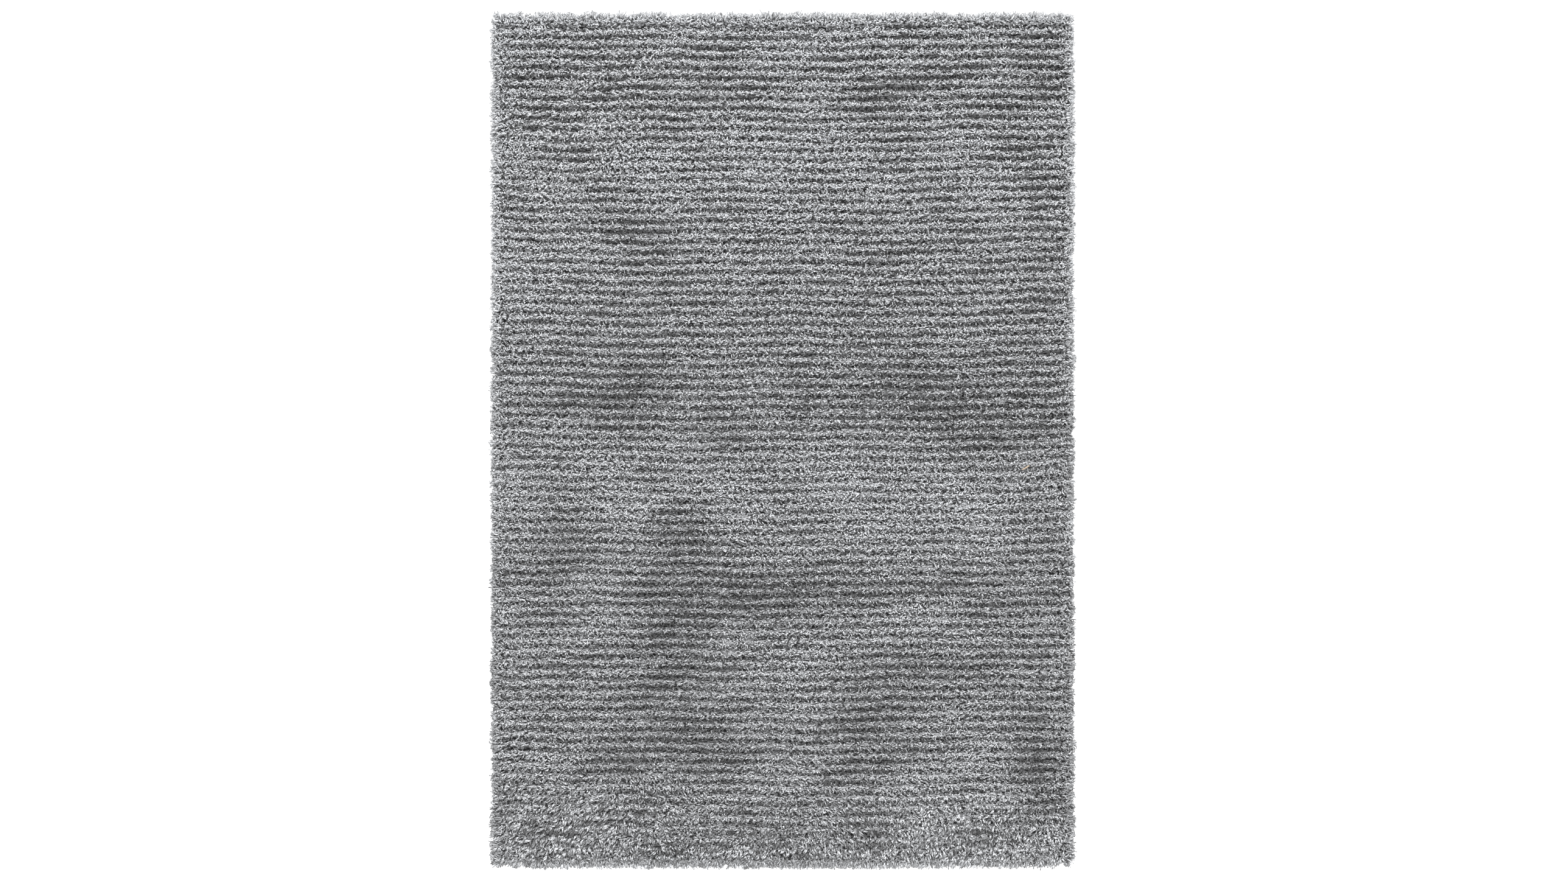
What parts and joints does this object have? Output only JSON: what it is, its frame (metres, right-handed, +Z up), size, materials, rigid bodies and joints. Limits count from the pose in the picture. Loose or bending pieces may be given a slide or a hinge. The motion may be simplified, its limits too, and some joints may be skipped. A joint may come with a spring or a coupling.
{
  "type": "shag rug",
  "caption": "Rectangular deep-pile shag rug with crosswise rows of pile and shaggy edges, lying flat on a floor.",
  "frame": {"origin": "centre of the underside, on the floor", "axes": "+X across the rug along its rows of pile, +Y along its length, +Z up out of the pile"},
  "size_m": [1.6001, 2.336, 0.0413],
  "materials": {
    "pile_yarn": "matt silver-grey shag yarn with a faint sheen at the tips"
  },
  "bodies": {
    "root": {"rug": "pile_yarn"}
  },
  "joints": []
}
